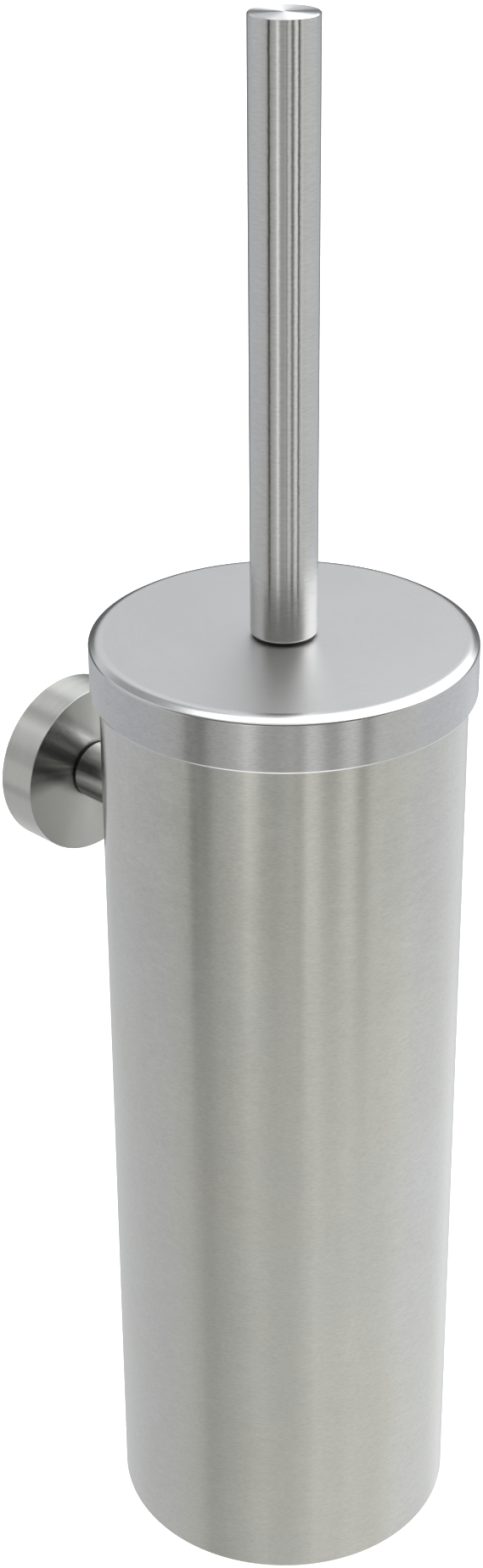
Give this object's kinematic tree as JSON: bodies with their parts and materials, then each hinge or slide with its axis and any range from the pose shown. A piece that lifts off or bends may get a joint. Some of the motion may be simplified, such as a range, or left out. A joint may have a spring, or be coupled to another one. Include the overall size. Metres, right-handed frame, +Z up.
{
  "type": "toilet brush holder",
  "caption": "Wall-hung toilet brush holder: a brushed steel can on a short arm and round rose, with a loose lid that lifts out with its rod handle and brush.",
  "frame": {"origin": "centre of the wall bracket's back face, in the plane of the wall", "axes": "+Z up, along the can and the handle; +Y into the wall, along the arm; the can stands at -Y in front of the wall; +X to the right for a person facing the wall"},
  "size_m": [0.094, 0.128, 0.403],
  "materials": {
    "can_steel": "stainless steel with a fine satin grain that runs round the can",
    "lid_steel": "stainless steel, satin top with a soft circular grain, skirt brushed round",
    "handle_steel": "stainless steel with streaks along the rod and a turned end face",
    "rose_steel": "stainless steel, turned face and round-brushed rim",
    "arm_steel": "stainless steel bar, turned",
    "cast_alloy": "raw die-cast bracket alloy",
    "fastener_steel": "plain stainless fasteners",
    "black_plastic": "moulded black plastic with a fine texture",
    "black_rubber": "soft black rubber",
    "bristle_nylon": "dark nylon bristles"
  },
  "bodies": {
    "holder": {"wall_bracket": "cast_alloy", "wall_screw_left": "fastener_steel", "wall_screw_right": "fastener_steel", "rose_cover": "rose_steel", "rose_grub_screw": "fastener_steel", "arm_root_screw": "fastener_steel", "arm_gasket": "black_rubber", "wall_arm": "arm_steel", "arm_saddle": "black_plastic", "saddle_washer": "fastener_steel", "arm_can_screw": "fastener_steel", "can_shell": "can_steel", "can_base": "can_steel"},
    "liner": {"can_liner": "black_plastic"},
    "lid": {"lid": "lid_steel", "lid_bush": "black_plastic"},
    "brush": {"handle_tube": "handle_steel", "handle_foot_plug": "fastener_steel", "brush_stem": "fastener_steel", "stem_washer": "fastener_steel", "stem_nut": "fastener_steel", "brush_core": "black_plastic", "bristle_row_1": "bristle_nylon", "bristle_row_2": "bristle_nylon", "bristle_row_3": "bristle_nylon", "bristle_row_4": "bristle_nylon", "bristle_row_5": "bristle_nylon", "bristle_row_6": "bristle_nylon", "bristle_row_7": "bristle_nylon", "bristle_tip": "bristle_nylon"}
  },
  "joints": [
    {"name": "liner_lift", "type": "slide", "parent": "holder", "child": "liner", "axis": [0, 0, 1], "range_m": [0, 0.265]},
    {"name": "brush_lift", "type": "slide", "parent": "liner", "child": "lid", "axis": [0, 0, 1], "range_m": [0, 0.265]},
    {"name": "handle_turn", "type": "hinge", "parent": "lid", "child": "brush", "pos_m": [0, -0.081, 0.0615], "axis": [0, 0, 1], "continuous": true}
  ]
}
